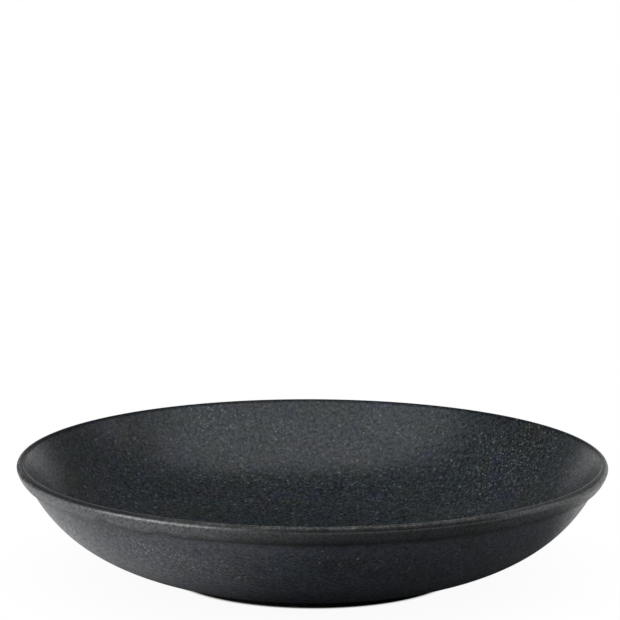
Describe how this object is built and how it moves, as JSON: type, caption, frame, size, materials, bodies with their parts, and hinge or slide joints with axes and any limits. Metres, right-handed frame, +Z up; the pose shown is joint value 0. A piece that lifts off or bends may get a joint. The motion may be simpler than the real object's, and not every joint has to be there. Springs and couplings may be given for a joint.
{
  "type": "deep coupe bowl",
  "caption": "Wide deep coupe bowl in stoneware under a dark speckled glaze, with a smooth sweeping well, a rolled lip at the rim and a low foot ring, for serving and eating.",
  "frame": {"origin": "middle of the foot ring's standing face, on the surface that the bowl stands on", "axes": "+Z up along the bowl's axis of revolution, +Y away from the viewer of the picture, +X to the viewer's right"},
  "size_m": [0.28, 0.28, 0.055],
  "materials": {
    "stoneware": "fired bare stoneware, fine and matte, warm grey",
    "dark_glaze": "satin reactive glaze, blue-black with pale specks, breaking brown on the rim"
  },
  "bodies": {
    "root": {"stoneware_body": "stoneware", "glaze_coat": "dark_glaze", "foot_recess_glaze": "dark_glaze"}
  },
  "joints": []
}
